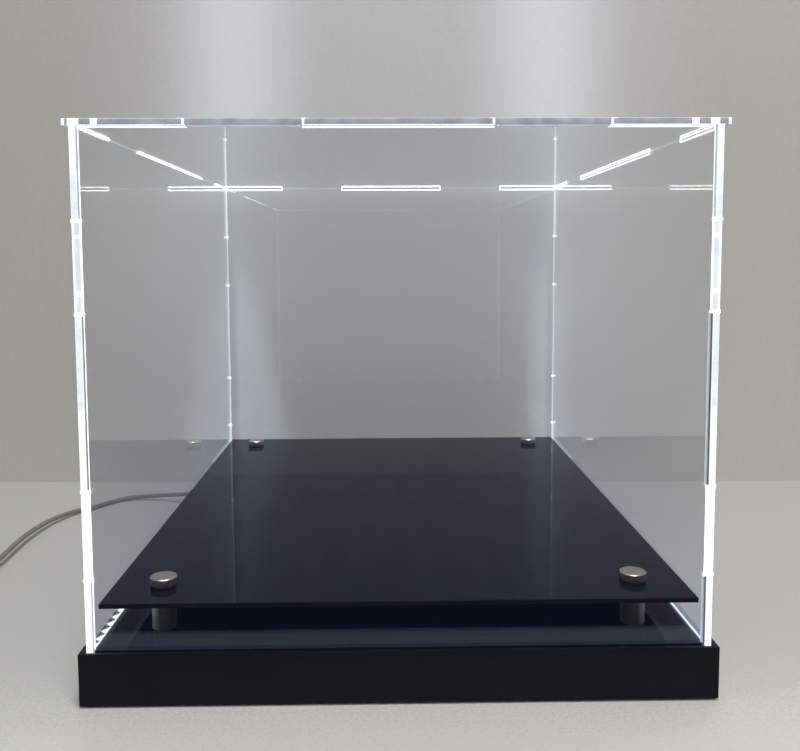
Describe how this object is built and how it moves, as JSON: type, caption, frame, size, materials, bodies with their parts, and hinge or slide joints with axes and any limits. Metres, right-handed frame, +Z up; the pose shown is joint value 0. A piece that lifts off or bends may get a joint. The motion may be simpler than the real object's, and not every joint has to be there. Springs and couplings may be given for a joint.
{
  "type": "lighted display box",
  "caption": "Clear acrylic display cover with finger joints, lifted off a black base whose edge channel holds a ring of LED strips, with a raised glossy black shelf on steel standoffs.",
  "frame": {"origin": "the middle of the base on the table, without the lead", "axes": "+X to the right seen from the front, +Y from the front to the back, +Z up"},
  "size_m": [0.4788, 0.38, 0.271],
  "materials": {
    "clear_acrylic": "clear cast acrylic with polished laser-cut edges",
    "black_acrylic": "glossy black cast acrylic",
    "brushed_steel": "turned and brushed stainless steel",
    "clear_washer": "translucent nylon",
    "led_strip": "white board with lit chips",
    "circuit_board": "white solder mask",
    "silicone": "translucent silicone",
    "black_rubber": "matt",
    "wire_jacket": "satin insulation",
    "grey_pvc": "satin grey jacket and moulding",
    "plated_steel": "nickel plated"
  },
  "bodies": {
    "base": {"base_wall_front": "black_acrylic", "base_wall_back": "black_acrylic", "base_wall_left": "black_acrylic", "base_wall_right": "black_acrylic", "base_top": "black_acrylic", "base_bottom": "black_acrylic", "rail_left": "black_acrylic", "rail_right": "black_acrylic", "rail_front": "black_acrylic", "rail_back": "black_acrylic", "ledge_left": "black_acrylic", "ledge_right": "black_acrylic", "ledge_front": "black_acrylic", "ledge_back": "black_acrylic", "shelf": "black_acrylic", "barrel_front_left": "brushed_steel", "barrel_front_right": "brushed_steel", "barrel_back_left": "brushed_steel", "barrel_back_right": "brushed_steel", "cap_front_left": "brushed_steel", "cap_front_right": "brushed_steel", "cap_back_left": "brushed_steel", "cap_back_right": "brushed_steel", "standoff_screw_front_left": "brushed_steel", "standoff_screw_front_right": "brushed_steel", "standoff_screw_back_left": "brushed_steel", "standoff_screw_back_right": "brushed_steel", "washer_front_left": "clear_washer", "washer_front_right": "clear_washer", "washer_back_left": "clear_washer", "washer_back_right": "clear_washer", "led_strip_left": "led_strip", "led_strip_right": "led_strip", "led_strip_front": "led_strip", "led_strip_back": "led_strip", "junction_board": "circuit_board", "cover_cushion_front_left": "silicone", "cover_cushion_front_right": "silicone", "cover_cushion_back_left": "silicone", "cover_cushion_back_right": "silicone", "foot_pad_front_left": "black_rubber", "foot_pad_front_right": "black_rubber", "foot_pad_back_left": "black_rubber", "foot_pad_back_right": "black_rubber", "corner_jumper_front_left": "wire_jacket", "corner_jumper_front_right": "wire_jacket", "corner_jumper_back_right": "wire_jacket", "feed_wire": "wire_jacket", "lead_gland": "grey_pvc", "inner_lead": "grey_pvc", "lead_free": "grey_pvc", "lead_coil": "grey_pvc", "plug_body": "grey_pvc", "plug_shell": "plated_steel"},
    "cover": {"top_panel": "clear_acrylic", "front_panel": "clear_acrylic", "back_panel": "clear_acrylic", "left_panel": "clear_acrylic", "right_panel": "clear_acrylic"}
  },
  "joints": [
    {"name": "cover_lift", "type": "slide", "parent": "base", "child": "cover", "axis": [0, 0, 1], "range_m": [0, 0.26]}
  ]
}
